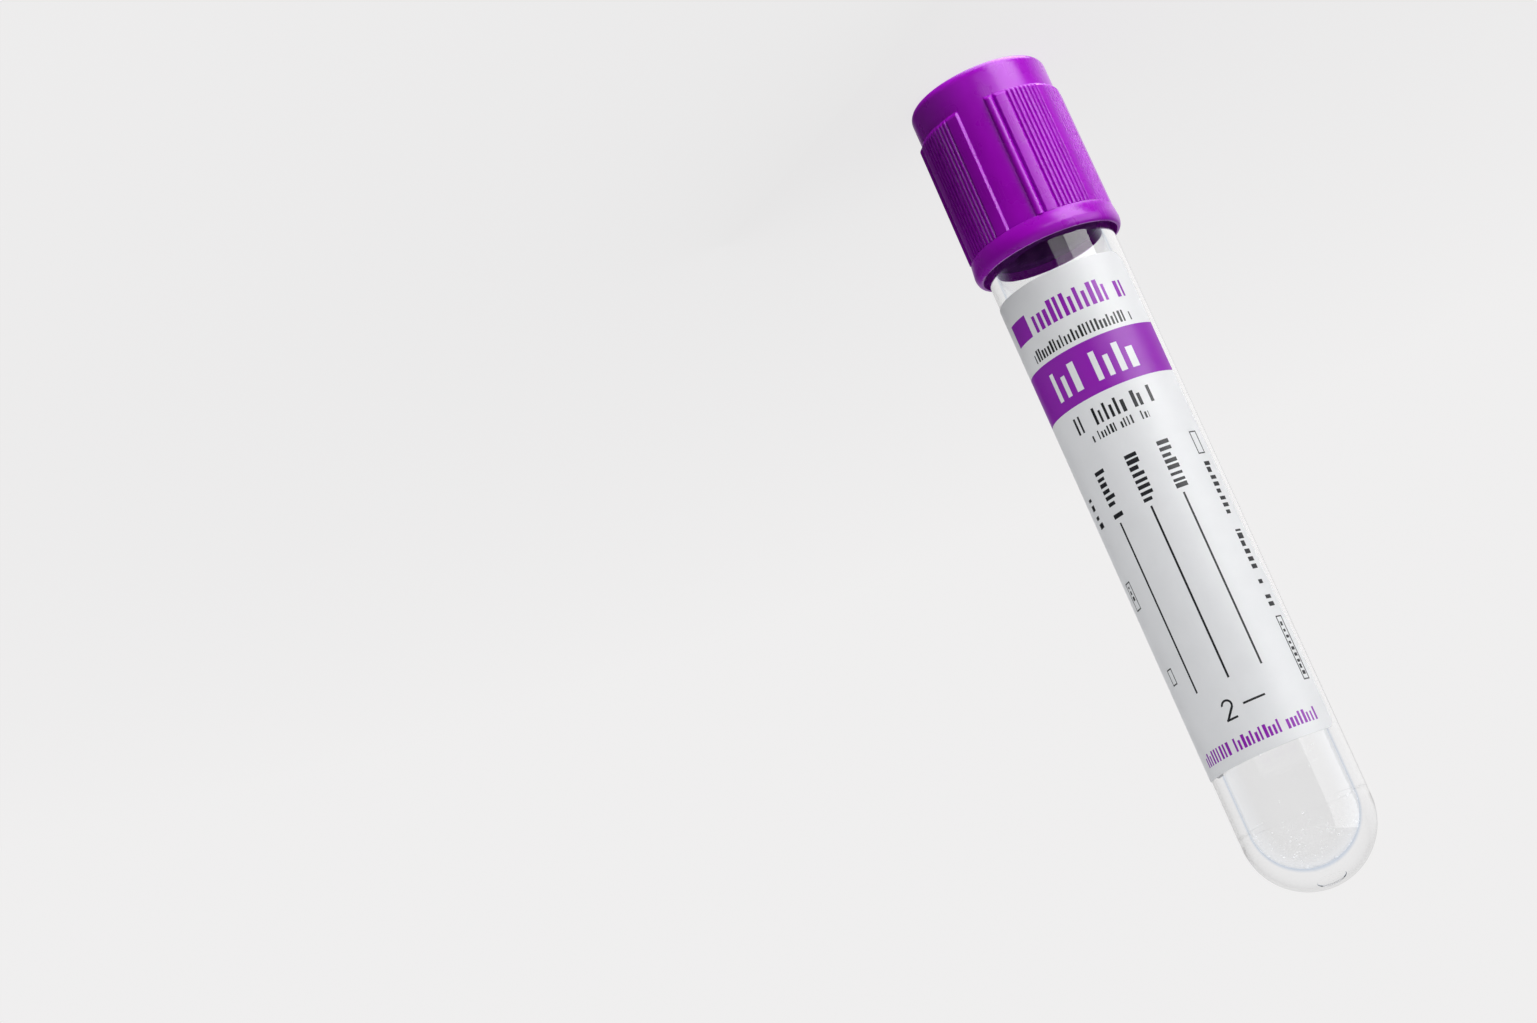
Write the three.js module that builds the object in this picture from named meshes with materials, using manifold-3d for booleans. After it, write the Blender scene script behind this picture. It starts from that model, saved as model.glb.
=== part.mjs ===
// A capped specimen tube, standing on its cap.
// Millimetres, +Z up. The origin is the centre of the cap's flat end, so the tube's round end is at the top.
// Angles are in degrees, counted from the front (-Y) towards -X.
import * as THREE from 'three';
import { mergeVertices } from 'three/addons/utils/BufferGeometryUtils.js';
import Module from 'manifold-3d';

const wasm = await Module();
wasm.setup();

// Tube: one moulded piece with a round closed end.
const tubeLength = 75;
const tubeRadius = 6.4;
const tubeDraft = 0.1;
const tubeWall = 1.05;
const boreDraft = 0.25;
const bottomWall = 1.9;
const rimRound = 0.2;
const rimLeadIn = 0.35;
const partingHeight = 7.2;
const partingStep = 0.03;
const gateRadius = 1.5;
const gateHeight = 0.6;
const gateRound = 0.2;

// Stopper: rubber, with a head held in the cap and a plug that fills the tube's mouth.
const headHeight = 6.25;
const headInset = 0.35;
const headEdge = 0.3;
const neckDepth = 0.4;
const neckHeight = 1.0;
const lipHeight = 1.4;
const plugLength = 10.15;
const plugClearance = 0.06;
const plugRelief = 0.2;
const sealHeight = 2.4;
const plugTaper = 0.35;
const plugTaperLength = 0.9;
const wellRadius = 3.1;
const wellDepth = 3.2;
const hollowRadius = 3.2;
const hollowDepth = 9.5;
const hollowDraft = 0.5;

// Cap: a thin moulded shell with a port in its flat end, rib pads for grip and a flared skirt.
const capHeight = 18.25;
const capWall = 0.35;
const capDraft = 0.08;
const capTopWall = 1.4;
const capEdge = 1.0;
const bandHeight = 3.45;
const portRadius = 4.1;
const portFlare = 0.5;
const headClearance = 0.1;
const snapBite = 0.2;
const snapRelief = 0.15;
const skirtClearance = 0.1;
const flangeHeight = 2.1;
const flangeProud = 0.47;
const flangeLedge = 0.14;
const lipRound = 0.4;
const lipDrop = 0.85;
const mouthClearance = 0.45;
const mouthDepth = 1.8;

// Grip pattern on the cap, the same on both halves: a short pad with one group of grooves, a wide gap,
// a long pad with two groups and a bead close before it, and a narrow gap with a bead in its middle.
const padProud = 0.3;
const padShoulder = 0.45;
const longPadStart = 11;
const wideGap = 32;
const leadStrip = 10;
const plainStrip = 11.3;
const shortPadGrooves = [9];
const longPadGrooves = [8, 6];
const groovePitch = 3.85;
const grooveWidth = 1.7;
const grooveDepth = 0.2;
const beadWidth = 7;
const beadProud = 0.42;
const beadGap = 1.2;

// Label: paper film wrapped round the front of the tube, with the back left clear.
const labelStart = 13.6;
const labelLength = 48.5;
const labelThickness = 0.08;
const labelGlue = 0.02;
const labelEnd = 66;
const labelWrap = 162;
const labelCorner = 1.2;

// How finely round shapes are cut.
const roundSegments = 72;
const domeSteps = 9;
const edgeSteps = 3;
const stripStep = 4;

// Heights that several pieces share.
const rimZ = capTopWall + headHeight;
const tipZ = rimZ + tubeLength;
const plugEndZ = rimZ + plugLength;
const flangeZ = capHeight - flangeHeight;

// Radii that several pieces share.
const boreRadius = tubeRadius - tubeWall;
const skirtRadius = tubeRadius + skirtClearance;
const capRadius = skirtRadius + capWall;
const headRadius = tubeRadius - headInset;
const neckRadius = headRadius - neckDepth;

const radians = (degrees) => degrees * Math.PI / 180;

// Points of a quarter or longer arc in a profile, from one angle to another, ends included.
function arc(r, z, radiusR, radiusZ, from, to, steps) {
  const points = [];
  for (let i = 0; i <= steps; i += 1) {
    const turn = radians(from + (to - from) * i / steps);
    points.push([r + radiusR * Math.cos(turn), z + radiusZ * Math.sin(turn)]);
  }
  return points;
}

// A closed geometry as a solid that can be joined and cut.
function toSolid(geometry) {
  geometry.deleteAttribute('normal');
  geometry.deleteAttribute('uv');
  const merged = mergeVertices(geometry);
  const corners = [];
  for (let i = 0; i < merged.index.count; i += 3) {
    const [a, b, c] = [0, 1, 2].map((k) => merged.index.getX(i + k));
    if (a !== b && b !== c && c !== a) corners.push(a, b, c);
  }
  return new wasm.Manifold(new wasm.Mesh({
    numProp: 3,
    vertProperties: Float32Array.from(merged.attributes.position.array),
    triVerts: Uint32Array.from(corners),
  }));
}

// A profile of [radius, height] points, outside upwards and inside downwards, turned about Z.
function revolve(profile) {
  const points = [...profile, profile[0]].map(([r, z]) => new THREE.Vector2(r, z));
  const geometry = new THREE.LatheGeometry(points, roundSegments);
  geometry.rotateX(Math.PI / 2);
  return toSolid(geometry);
}

function toMesh(name, solid, material) {
  const { vertProperties, triVerts } = solid.getMesh();
  const geometry = new THREE.BufferGeometry();
  geometry.setAttribute('position', new THREE.BufferAttribute(vertProperties, 3));
  geometry.setIndex(new THREE.BufferAttribute(triVerts, 1));
  geometry.computeVertexNormals();
  const mesh = new THREE.Mesh(geometry, material);
  mesh.name = name;
  return mesh;
}

// Outside radius of the tube's straight wall at a height.
function tubeOutside(z) {
  const wallTop = tipZ - partingHeight;
  return tubeRadius - tubeDraft * (z - rimZ) / (wallTop - rimZ);
}

// The tube: drafted wall, a small step where the mould parts, a round end, and a gate pip inside it.
function tube() {
  const partingZ = tipZ - partingHeight;
  const domeRadius = tubeRadius - tubeDraft - partingStep;
  const domeZ = tipZ - domeRadius;
  const innerRadius = boreRadius - boreDraft;
  const innerZ = tipZ - bottomWall - innerRadius;
  const pipAngle = 180 / Math.PI * Math.acos(gateRadius / innerRadius);
  const pipZ = innerZ + innerRadius - gateHeight;
  return revolve([
    [tubeRadius - rimRound, rimZ],
    [tubeRadius, rimZ + rimRound],
    [tubeOutside(partingZ), partingZ],
    [domeRadius, partingZ + partingStep],
    ...arc(0, domeZ, domeRadius, domeRadius, 0, 90, domeSteps),
    [0, pipZ],
    [gateRadius - gateRound, pipZ],
    [gateRadius, pipZ + gateRound],
    ...arc(0, innerZ, innerRadius, innerRadius, pipAngle, 0, domeSteps - 1),
    [boreRadius, rimZ + rimLeadIn],
    [boreRadius + rimLeadIn, rimZ],
  ]);
}

// The stopper: a head with a pierced well, a neck that the cap snaps into, and a plug with two seals.
function stopper() {
  const plugRadius = boreRadius - plugClearance;
  const plugCore = plugRadius - plugRelief;
  const lipZ = rimZ - lipHeight;
  const neckZ = lipZ - neckHeight;
  const wellZ = capTopWall + wellDepth;
  const hollowZ = plugEndZ - hollowDepth;
  const hollowTop = hollowRadius - hollowDraft;
  const sealSlope = plugRelief;
  const lastSealZ = plugEndZ - plugTaperLength - sealHeight;
  return revolve([
    [wellRadius + headEdge, capTopWall],
    [headRadius - headEdge, capTopWall],
    [headRadius, capTopWall + headEdge],
    [headRadius, neckZ - neckDepth],
    [neckRadius, neckZ],
    [neckRadius, lipZ],
    [headRadius, lipZ + headEdge],
    [headRadius, rimZ],
    [plugRadius, rimZ],
    [plugRadius, rimZ + sealHeight],
    [plugCore, rimZ + sealHeight + sealSlope],
    [plugCore, lastSealZ - sealSlope],
    [plugRadius, lastSealZ],
    [plugRadius, plugEndZ - plugTaperLength],
    [plugRadius - plugTaper, plugEndZ],
    [hollowRadius, plugEndZ],
    ...arc(0, hollowZ + hollowTop, hollowTop, -hollowTop, 0, 90, edgeSteps),
    [0, wellZ],
    [wellRadius - headEdge, wellZ],
    [wellRadius, wellZ - headEdge],
    [wellRadius, capTopWall + headEdge],
  ]);
}

// The cap's shell, before the grip pattern: port, collar round the stopper, snap ring and flared skirt.
function capShell() {
  const collarRadius = headRadius + headClearance;
  const snapRadius = headRadius - snapBite;
  const snapMiddle = rimZ - lipHeight - neckHeight / 2;
  const snapHalf = neckHeight / 2 - snapRelief;
  const snapSlope = collarRadius - snapRadius;
  const drafted = capRadius + capDraft;
  const flangeRadius = drafted + flangeProud;
  const mouthRadius = tubeRadius + mouthClearance;
  const mouthSlope = mouthRadius - skirtRadius;
  return revolve([
    [portRadius + portFlare, 0],
    ...arc(capRadius - capEdge, capEdge, capEdge, capEdge, -90, 0, edgeSteps),
    [capRadius, bandHeight],
    [drafted, flangeZ],
    [flangeRadius - flangeLedge, flangeZ],
    ...arc(flangeRadius - lipRound, capHeight - lipDrop, lipRound, lipDrop, 0, 90, edgeSteps + 1),
    [mouthRadius, capHeight],
    [mouthRadius, capHeight - mouthDepth + mouthSlope],
    [skirtRadius, capHeight - mouthDepth],
    [skirtRadius, rimZ + skirtClearance],
    [collarRadius, rimZ - snapRelief],
    [collarRadius, snapMiddle + snapHalf],
    [snapRadius, snapMiddle + snapHalf - snapRelief],
    [snapRadius, snapMiddle],
    [collarRadius, snapMiddle - snapSlope],
    [collarRadius, capTopWall],
    [portRadius, capTopWall],
    [portRadius, portFlare],
  ]);
}

const onCap = (angle, radius) => new THREE.Vector2(
  -radius * Math.sin(radians(angle)),
  -radius * Math.cos(radians(angle)),
);

// A pad's groove middles, in degrees from where the pad starts, and its span. A plain strip ends each group.
function padLayout(firstStrip, groups) {
  const grooves = [];
  let along = firstStrip;
  for (const count of groups) {
    for (let i = 0; i < count; i += 1) grooves.push(along + i * groovePitch);
    along += (count - 1) * groovePitch + plainStrip;
  }
  return { grooves, span: along };
}

// The outline of a pad across the cap, as [angle, height above the shell] points.
function padOutline({ grooves, span }) {
  const outline = [];
  const plain = (from, to) => {
    const parts = Math.ceil((to - from) / stripStep);
    for (let i = 0; i < parts; i += 1) outline.push([from + (to - from) * i / parts, padProud]);
  };
  let done = 0;
  for (const middle of grooves) {
    plain(done, middle - grooveWidth / 2);
    outline.push([middle - grooveWidth / 2, padProud]);
    outline.push([middle - grooveWidth / 6, padProud - grooveDepth]);
    outline.push([middle + grooveWidth / 6, padProud - grooveDepth]);
    done = middle + grooveWidth / 2;
  }
  plain(done, span);
  outline.push([span, padProud]);
  return outline;
}

// The outline of one bead, a low round ridge.
function beadOutline() {
  const outline = [];
  for (let i = 0; i <= 2 * edgeSteps; i += 1) {
    const across = i / edgeSteps - 1;
    const height = beadProud * Math.sqrt(1 - across * across);
    outline.push([beadWidth / 2 * (1 + across), height]);
  }
  return outline;
}

// A raised feature of the cap: its outline on the shell, drawn along the cap with the shell's draft,
// with a sloped shoulder at the band end. Its root lies in the middle of the shell's wall.
function raised(outline, start, proud) {
  const root = capRadius - capWall / 2;
  const top = outline.map(([a, height]) => onCap(start + a, capRadius + height));
  const back = outline.map(([a]) => onCap(start + a, root)).reverse();
  const geometry = new THREE.ExtrudeGeometry(new THREE.Shape([...top, ...back]), {
    depth: flangeZ + flangeLedge - bandHeight,
    bevelEnabled: false,
    steps: 1,
  });
  const position = geometry.attributes.position;
  for (let i = 0; i < position.count; i += 1) {
    const along = position.getZ(i) / (flangeZ - bandHeight);
    const swell = 1 + capDraft * along / capRadius;
    position.setXY(i, position.getX(i) * swell, position.getY(i) * swell);
  }
  geometry.translate(0, 0, bandHeight);
  const reach = capRadius + proud + capDraft;
  const shoulder = revolve([
    [0, bandHeight],
    [capRadius - capWall / 4, bandHeight],
    [reach, bandHeight + padShoulder],
    [reach, flangeZ + flangeHeight / 2],
    [0, flangeZ + flangeHeight / 2],
  ]);
  return toSolid(geometry).intersect(shoulder);
}

// The cap: its shell with the grip pattern, which repeats every half turn.
function cap() {
  const shortPad = padLayout(plainStrip, shortPadGrooves);
  const longPad = padLayout(leadStrip, longPadGrooves);
  const shortPadStart = longPadStart - wideGap - shortPad.span;
  const narrowGapMiddle = (longPadStart + longPad.span + shortPadStart + 180) / 2;
  const beadStarts = [longPadStart - beadGap - beadWidth, narrowGapMiddle - beadWidth / 2];
  let solid = capShell();
  for (const half of [0, 180]) {
    solid = solid.add(raised(padOutline(shortPad), half + shortPadStart, padProud));
    solid = solid.add(raised(padOutline(longPad), half + longPadStart, padProud));
    for (const start of beadStarts) solid = solid.add(raised(beadOutline(), half + start, beadProud));
  }
  return solid;
}

// The label: a thin wrapped sheet with round corners, its wall following the tube's draft.
function label() {
  const lowZ = rimZ + labelStart;
  const highZ = lowZ + labelLength;
  const cornerTurn = labelCorner / radians(1) / tubeRadius;
  const turns = [];
  for (let i = 0; i <= edgeSteps; i += 1) {
    turns.push(cornerTurn * (1 - Math.cos(radians(90 * i / edgeSteps))));
  }
  const middleColumns = Math.round((labelWrap - 2 * cornerTurn) * roundSegments / 360);
  for (let i = 1; i < middleColumns; i += 1) {
    turns.push(cornerTurn + (labelWrap - 2 * cornerTurn) * i / middleColumns);
  }
  for (let i = edgeSteps; i >= 0; i -= 1) turns.push(labelWrap - turns[i]);

  const vertices = [];
  const corners = [];
  for (const turn of turns) {
    const inset = Math.max(0, 1 - Math.min(turn, labelWrap - turn) / cornerTurn);
    const cut = labelCorner * (1 - Math.sqrt(1 - inset * inset));
    for (const z of [lowZ + cut, highZ - cut]) {
      for (const lift of [labelGlue, labelGlue + labelThickness]) {
        const { x, y } = onCap(labelEnd - turn, tubeOutside(z) + lift);
        vertices.push(x, y, z);
      }
    }
  }
  const quad = (a, b, c, d) => corners.push(a, b, c, a, c, d);
  const [lowIn, lowOut, highIn, highOut] = [0, 1, 2, 3];
  const last = 4 * (turns.length - 1);
  for (let here = 0; here < last; here += 4) {
    const next = here + 4;
    for (const [p, q] of [[highOut, lowOut], [highIn, highOut], [lowIn, highIn], [lowOut, lowIn]]) {
      quad(here + p, here + q, next + q, next + p);
    }
  }
  quad(lowIn, lowOut, highOut, highIn);
  quad(last + highOut, last + lowOut, last + lowIn, last + highIn);
  const geometry = new THREE.BufferGeometry();
  geometry.setAttribute('position', new THREE.Float32BufferAttribute(vertices, 3));
  geometry.setIndex(corners);
  return toSolid(geometry);
}

const material = (color, roughness, extra = {}) => new THREE.MeshStandardMaterial({
  color, roughness, metalness: 0, ...extra,
});

const specimenTube = new THREE.Group();
specimenTube.add(toMesh('tube', tube(), material(0xeef2f4, 0.05, { transparent: true, opacity: 0.3 })));
specimenTube.add(toMesh('label', label(), material(0xf4f5f7, 0.55)));
specimenTube.add(toMesh('rubber_stopper', stopper(), material(0x43184f, 0.6)));
specimenTube.add(toMesh('cap_shield', cap(), material(0x8a12a2, 0.35)));

export default specimenTube;
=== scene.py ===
import math
import random

import bpy
from bpy.props import FloatProperty, FloatVectorProperty, IntProperty, PointerProperty
from mathutils import Euler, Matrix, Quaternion, Vector


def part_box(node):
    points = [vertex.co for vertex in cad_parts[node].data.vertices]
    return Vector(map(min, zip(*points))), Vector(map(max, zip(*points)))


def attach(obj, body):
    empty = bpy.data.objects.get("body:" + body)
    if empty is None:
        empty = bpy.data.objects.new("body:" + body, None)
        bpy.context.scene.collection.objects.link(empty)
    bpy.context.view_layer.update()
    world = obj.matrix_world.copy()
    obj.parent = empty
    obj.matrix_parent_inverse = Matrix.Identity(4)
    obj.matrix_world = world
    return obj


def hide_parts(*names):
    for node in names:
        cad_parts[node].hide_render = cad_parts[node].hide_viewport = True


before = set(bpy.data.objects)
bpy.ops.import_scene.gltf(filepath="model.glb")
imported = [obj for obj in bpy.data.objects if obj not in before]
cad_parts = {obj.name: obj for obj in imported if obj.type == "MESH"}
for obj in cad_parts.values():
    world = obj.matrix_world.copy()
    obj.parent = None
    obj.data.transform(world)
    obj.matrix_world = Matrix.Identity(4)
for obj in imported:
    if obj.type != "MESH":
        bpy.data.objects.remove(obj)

bl_info = {
    "name": "Specimen tube maker",
    "version": (1, 0, 0),
    "blender": (4, 5, 0),
    "location": "3D View > Sidebar > Tube",
    "description": "Models a capped specimen tube: clear tube, rubber stopper, ribbed cap and wrapped label",
    "category": "Object",
}

# The tube stands on its cap, so heights count from the cap's flat end up to the tube's round end.
# Angles are in degrees, counted from the front (-Y) towards -X.
MM = 0.001
TUBE_LOW, TUBE_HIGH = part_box("tube")
CAP_LOW, CAP_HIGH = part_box("cap_shield")
STOPPER_LOW, STOPPER_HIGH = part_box("rubber_stopper")
LABEL_LOW, LABEL_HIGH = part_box("label")
RIM = TUBE_LOW.z
TIP = TUBE_HIGH.z
SKIRT_END = CAP_HIGH.z
MERGE = 1e-7


# ---------------------------------------------------------------- sizes and colours

def length(label, value, words):
    return FloatProperty(name=label, description=words, default=value, unit="LENGTH", precision=5)


def degrees(label, value, words):
    return FloatProperty(name=label, description=words, default=math.radians(value), subtype="ANGLE")


def colour(label, value, words):
    return FloatVectorProperty(name=label, description=words, default=value, subtype="COLOR", size=3,
                               min=0, max=1)


def share(label, value, words):
    return FloatProperty(name=label, description=words, default=value, subtype="FACTOR", min=0, max=1)


def level(label, value, words):
    return FloatProperty(name=label, description=words, default=value, min=0)


def whole(label, value, words, least=1):
    return IntProperty(name=label, description=words, default=value, min=least)


class TubeSizes(bpy.types.PropertyGroup):
    radius: length("Radius", 6.4 * MM, "Outside radius at the rim")
    draft: length("Draft", 0.1 * MM, "How much narrower the wall is at the parting line")
    wall: length("Wall", 1.05 * MM, "Wall at the rim")
    bore_draft: length("Bore draft", 0.25 * MM, "How much narrower the bore is at its foot")
    bottom_wall: length("Bottom wall", 1.9 * MM, "Wall at the middle of the round end")
    rim_round: length("Rim round", 0.2 * MM, "Rounding of the rim")
    lead_in: length("Lead-in", 0.35 * MM, "Slope inside the rim")
    parting_height: length("Parting height", 7.2 * MM, "Parting line below the tip of the round end")
    parting_step: length("Parting step", 0.015 * MM, "Step in the wall at the parting line")
    pip_radius: length("Pip radius", 1.1 * MM, "Radius of the gate pip inside the round end")
    pip_height: length("Pip height", 0.24 * MM, "Height of the gate pip at its middle")
    pip_edge: length("Pip edge", 0.1 * MM, "Rounding of the gate pip")
    tint: colour("Tint", (0.992, 0.994, 0.996), "Colour of the clear plastic")
    steps: whole("Steps", 256, "Faces round the tube", 32)


class DropletSizes(bpy.types.PropertyGroup):
    smallest: length("Smallest", 0.025 * MM, "Radius of the smallest droplets")
    largest: length("Largest", 0.1 * MM, "Radius of the largest droplets")
    flatness: share("Flatness", 0.4, "Height of a droplet as a share of its radius")
    gap: length("Gap", 0.002 * MM, "Gap between droplets and wall")
    end_share: share("End share", 0.55, "How many of the droplets are in the round end")
    count: whole("Count", 900, "How many droplets there are")
    seed: whole("Seed", 11, "Chooses another scatter")


class StopperSizes(bpy.types.PropertyGroup):
    head_edge: length("Head edge", 0.3 * MM, "Rounding of the head")
    head_inset: length("Head inset", 0.35 * MM, "How far the head is inside the tube's radius")
    neck_depth: length("Neck depth", 0.4 * MM, "Depth of the neck that the cap snaps into")
    neck_height: length("Neck height", 1.0 * MM, "Height of the neck")
    lip_height: length("Lip height", 1.4 * MM, "Height of the lip on the tube's rim")
    clearance: length("Clearance", 0.06 * MM, "Gap between plug and bore")
    relief: length("Relief", 0.2 * MM, "Depth of the plug between its two seals")
    seal_height: length("Seal height", 2.4 * MM, "Height of each seal")
    taper: length("Taper", 0.35 * MM, "How much narrower the end of the plug is")
    taper_length: length("Taper length", 0.9 * MM, "Height of the narrower end")
    well_radius: length("Well radius", 3.1 * MM, "Radius of the needle well")
    well_depth: length("Well depth", 3.2 * MM, "Depth of the needle well")
    hollow_radius: length("Hollow radius", 3.2 * MM, "Radius of the hollow under the plug")
    hollow_depth: length("Hollow depth", 9.5 * MM, "Depth of the hollow under the plug")
    hollow_draft: length("Hollow draft", 0.5 * MM, "How much narrower the hollow is inside")
    rubber: colour("Rubber", (0.1, 0.016, 0.16), "Colour of the rubber")
    bloom: colour("Bloom", (0.13, 0.026, 0.19), "Colour of the rubber's bloomed patches")
    steps: whole("Steps", 192, "Faces round the stopper", 32)


class CapSizes(bpy.types.PropertyGroup):
    radius: length("Radius", 6.85 * MM, "Radius of the plain band")
    draft: length("Draft", 0.08 * MM, "How much wider the shell is at the skirt")
    top_wall: length("Top wall", 1.4 * MM, "Thickness of the flat end")
    edge: length("Edge", 1.0 * MM, "Rounding of the flat end")
    band_height: length("Band height", 3.45 * MM, "Height of the plain band")
    port_radius: length("Port radius", 4.1 * MM, "Radius of the port in the flat end")
    port_flare: length("Port flare", 0.5 * MM, "Slope at the port's edge")
    skirt_radius: length("Skirt radius", 6.5 * MM, "Radius inside the skirt")
    flange_height: length("Flange height", 2.1 * MM, "Height of the flared end")
    flange_proud: length("Flange proud", 0.47 * MM, "How far the flared end stands out")
    flange_ledge: length("Flange ledge", 0.14 * MM, "Flare from the flange's edge to its widest")
    lip_round: length("Lip round", 0.4 * MM, "Rounding of the flared end, inwards")
    lip_drop: length("Lip drop", 0.85 * MM, "Rounding of the flared end, along the cap")
    mouth_clearance: length("Mouth clearance", 0.45 * MM, "Gap between tube and skirt at the mouth")
    mouth_depth: length("Mouth depth", 1.8 * MM, "Depth of the wider mouth")
    collar_clearance: length("Collar clearance", 0.1 * MM, "Gap between the stopper's head and the shell")
    snap_bite: length("Snap bite", 0.2 * MM, "How far the snap ring reaches into the stopper's neck")
    snap_relief: length("Snap relief", 0.15 * MM, "Slope of the snap ring and gap to the neck's ends")
    flange_bevel: length("Flange bevel", 0.04 * MM, "Bevel on the edge of the flange")
    ring_gap: length("Ring gap", 0.02 * MM, "Gap between the grip zone's last ring and the flange")
    pad_proud: length("Pad proud", 0.3 * MM, "Height of the rib pads")
    pad_shoulder: length("Pad shoulder", 0.45 * MM, "Slope at the band end of a pad")
    groove_depth: length("Groove depth", 0.16 * MM, "Depth between the ribs")
    bead_proud: length("Bead proud", 0.42 * MM, "Height of the beads")
    long_pad_start: degrees("Long pad start", 11, "Where the long rib pad starts")
    wide_gap: degrees("Wide gap", 32, "Gap between the two pads at the front")
    lead_strip: degrees("Lead strip", 10, "Plain strip of the long pad beside its bead")
    plain_strip: degrees("Plain strip", 11.3, "Plain strip after each group of grooves")
    groove_pitch: degrees("Groove pitch", 3.85, "Angle from groove to groove")
    groove_width: degrees("Groove width", 2.7, "Angle across a groove")
    bead_width: degrees("Bead width", 7, "Angle across a bead")
    bead_gap: degrees("Bead gap", 1.2, "Angle between a bead and the long pad")
    pad_rounding: degrees("Pad rounding", 2, "Angle over which a pad's long edges round off")
    short_grooves: whole("Short grooves", 9, "Grooves on the short pad")
    long_grooves: whole("Long grooves", 8, "First grooves on the long pad")
    side_grooves: whole("Side grooves", 6, "Last grooves on the long pad")
    plastic: colour("Plastic", (0.395, 0.002, 0.56), "Colour of the moulded plastic")
    gloss: share("Gloss", 0.28, "Roughness of the moulded plastic")
    steps: whole("Steps", 960, "Faces round the cap", 96)


class LabelSizes(bpy.types.PropertyGroup):
    end: degrees("End", 66, "Where the label ends on its right")
    wrap: degrees("Wrap", 158, "How far the label goes round")
    corner: length("Corner", 1.2 * MM, "Rounding of the corners")
    thickness: length("Thickness", 0.08 * MM, "Thickness of the label")
    glue: length("Glue", 0.02 * MM, "Film of glue under the label")
    paper: colour("Paper", (0.86, 0.866, 0.878), "Colour of the label")
    band: colour("Band", (0.28, 0.004, 0.42), "Colour of the printed band")
    ink: colour("Ink", (0.012, 0.012, 0.015), "Colour of the printed lines")
    band_low: length("Band low", 48.95 * MM, "Lower edge of the band, above the tube's round end")
    band_high: length("Band high", 53.95 * MM, "Upper edge of the band")
    line_width: length("Line width", 0.2 * MM, "Width of the writing lines")
    see_through: share("See-through", 0.6, "How much lamp light passes the label")
    columns: whole("Columns", 108, "Faces along the wrap", 24)


class StageSizes(bpy.types.PropertyGroup):
    camera_distance: length("Camera distance", 0.3, "Level distance from the tube's axis to the camera")
    camera_height: length("Camera height", 101.55 * MM, "Height of the camera")
    camera_heading: degrees("Camera heading", -6.48, "Turn of the camera about the upright")
    camera_pitch: degrees("Camera pitch", -13.42, "Tilt of the camera from level")
    camera_roll: degrees("Camera roll", 157.16, "Roll of the camera about its own axis")
    lens: level("Lens", 76.8, "Focal length on a 36 mm sensor, in millimetres")
    backdrop: colour("Backdrop", (0.869, 0.862, 0.862), "Colour of floor and background")
    shadow_share: share("Shadow share", 0.12, "How much of its real light the floor shows beside the tube")
    shadow_reach: length("Shadow reach", 0.2, "Where the floor goes over into the plain backdrop")
    outline: colour("Outline", (0.62, 0.67, 0.75), "What the edges of clear plastic show of the room's sides")
    fill: level("Fill", 0.63, "Even light from all round")
    fill_tint: colour("Fill tint", (0.845, 0.862, 0.885), "Colour of the even light")
    dark_gloss: level("Dark gloss", 0.02, "How bright the dark side of the room is in reflections")
    bright_gloss: level("Bright gloss", 1.3, "How bright the window side of the room is in reflections")
    card_angle: degrees("Card angle", 56, "Where the softbox stands")
    card_wide: length("Card wide", 0.424, "Width of the softbox")
    reflector_angle: degrees("Reflector angle", 19, "Where the reflector beside the softbox stands")
    reflector_wide: length("Reflector wide", 0.25, "Width of the reflector")
    reflector_glow: level("Reflector glow", 2.6, "Brightness of the reflector in reflections")
    card_glow: level("Card glow", 7.2, "Brightness of the softbox in reflections")
    strip_glow: level("Strip glow", 16, "Brightness of the strip that the inside of clear plastic mirrors")
    end_angle: degrees("End angle", 70, "Where the card for the tube's round end stands")
    end_wide: length("End wide", 0.52, "Width of that card")
    end_glow: level("End glow", 2.6, "Brightness of that card in reflections")
    table_glow: level("Table glow", 4.2, "Brightness of the light under the table in reflections")
    key_angle: degrees("Key angle", 48, "Where the lamps stand")
    spot_angle: degrees("Spot angle", 60, "Where the spot on the cap stands")
    key_power: level("Key power", 1.3, "Power of the lamp under the table in watts")
    top_power: level("Top power", 0.17, "Power of the lamp above in watts")
    spot_power: level("Spot power", 0.62, "Power of the spot on the cap in watts")
    under_power: level("Under power", 0.2, "Power of the lamp right under the cap in watts")
    shade_angle: degrees("Shade angle", -52, "Where the black card beside the cap stands")
    shade_distance: length("Shade distance", 16 * MM, "From the tube's axis to the black card")
    shade_height: length("Shade height", 4 * MM, "Height of the black card's middle")
    shade_wide: length("Shade wide", 54 * MM, "Width of the black card")
    shade_tall: length("Shade tall", 32 * MM, "Height of the black card from edge to edge")


# ---------------------------------------------------------------- modelling helpers

def start_clean():
    if bpy.context.object and bpy.context.object.mode != "OBJECT":
        bpy.ops.object.mode_set(mode="OBJECT")
    bpy.ops.object.select_all(action="DESELECT")


def arc(r, z, across, along, start, end, steps):
    """Corners of an arc in a profile, both ends included."""
    turns = [math.radians(start + (end - start) * i / steps) for i in range(steps + 1)]
    return [(r + across * math.cos(t), z + along * math.sin(t)) for t in turns]


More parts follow.
